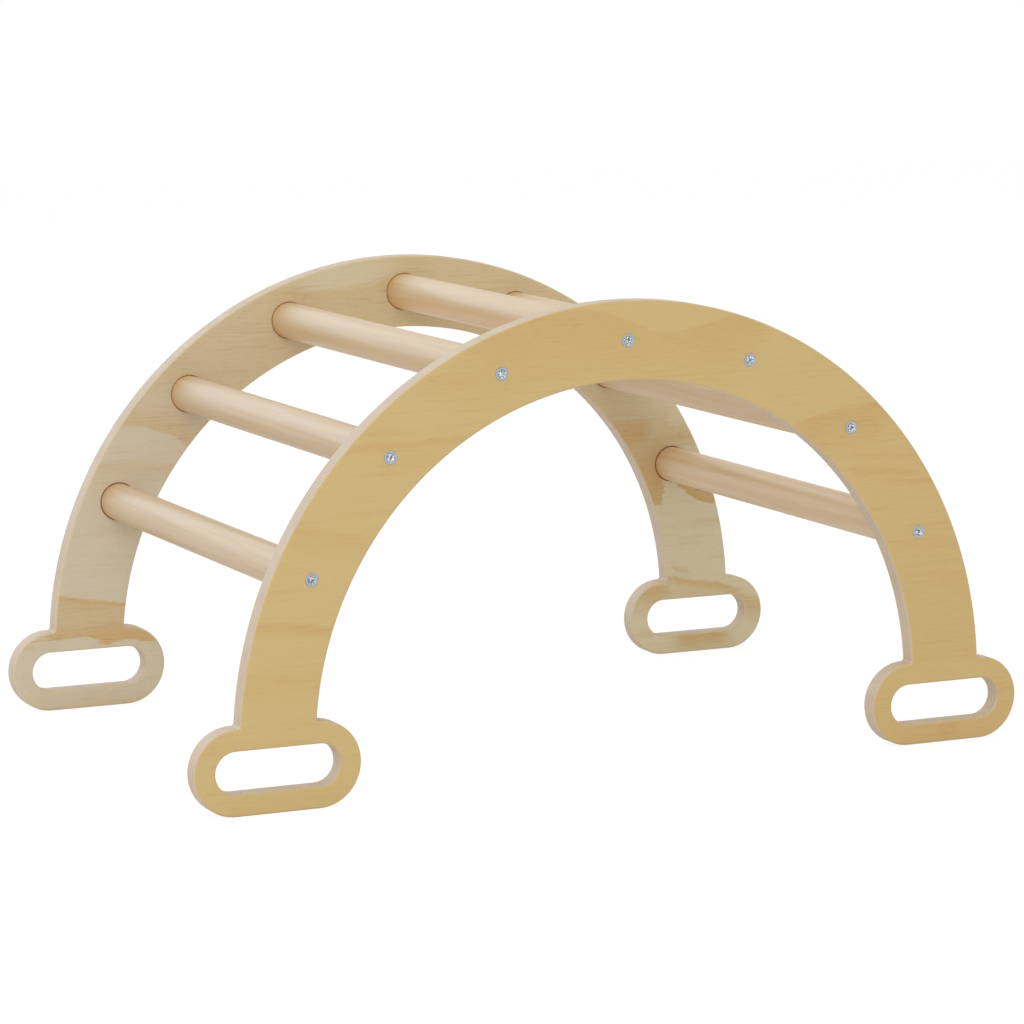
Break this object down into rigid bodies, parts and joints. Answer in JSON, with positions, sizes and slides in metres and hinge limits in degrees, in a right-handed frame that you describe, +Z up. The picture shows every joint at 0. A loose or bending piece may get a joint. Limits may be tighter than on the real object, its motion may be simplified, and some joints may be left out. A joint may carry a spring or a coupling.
{
  "type": "wooden rocker arch",
  "caption": "Semicircular climbing arch and rocker: arched plywood sides with oblong hand grips as feet, joined by round wooden rungs that are bolted through the sides.",
  "frame": {"origin": "on the floor, under the middle of the arch", "axes": "+X along the arch, from grip to grip; +Y across it, along the rungs, to the back side; +Z up"},
  "size_m": [0.815, 0.5006, 0.423],
  "materials": {
    "plywood": "clear matt varnish, grain along the arch",
    "rung_wood": "sanded and oiled, grain along the rung",
    "zinc_plated_steel": "bright zinc plating",
    "zinc_alloy": "as cast"
  },
  "bodies": {
    "root": {"front_side_panel": "plywood", "back_side_panel": "plywood", "rung_1": "rung_wood", "rung_2": "rung_wood", "rung_3": "rung_wood", "rung_4": "rung_wood", "rung_5": "rung_wood", "rung_6": "rung_wood", "rung_7": "rung_wood", "rung_1_bolts": "zinc_plated_steel", "rung_2_bolts": "zinc_plated_steel", "rung_3_bolts": "zinc_plated_steel", "rung_4_bolts": "zinc_plated_steel", "rung_5_bolts": "zinc_plated_steel", "rung_6_bolts": "zinc_plated_steel", "rung_7_bolts": "zinc_plated_steel", "rung_1_inserts": "zinc_alloy", "rung_2_inserts": "zinc_alloy", "rung_3_inserts": "zinc_alloy", "rung_4_inserts": "zinc_alloy", "rung_5_inserts": "zinc_alloy", "rung_6_inserts": "zinc_alloy", "rung_7_inserts": "zinc_alloy"}
  },
  "joints": []
}
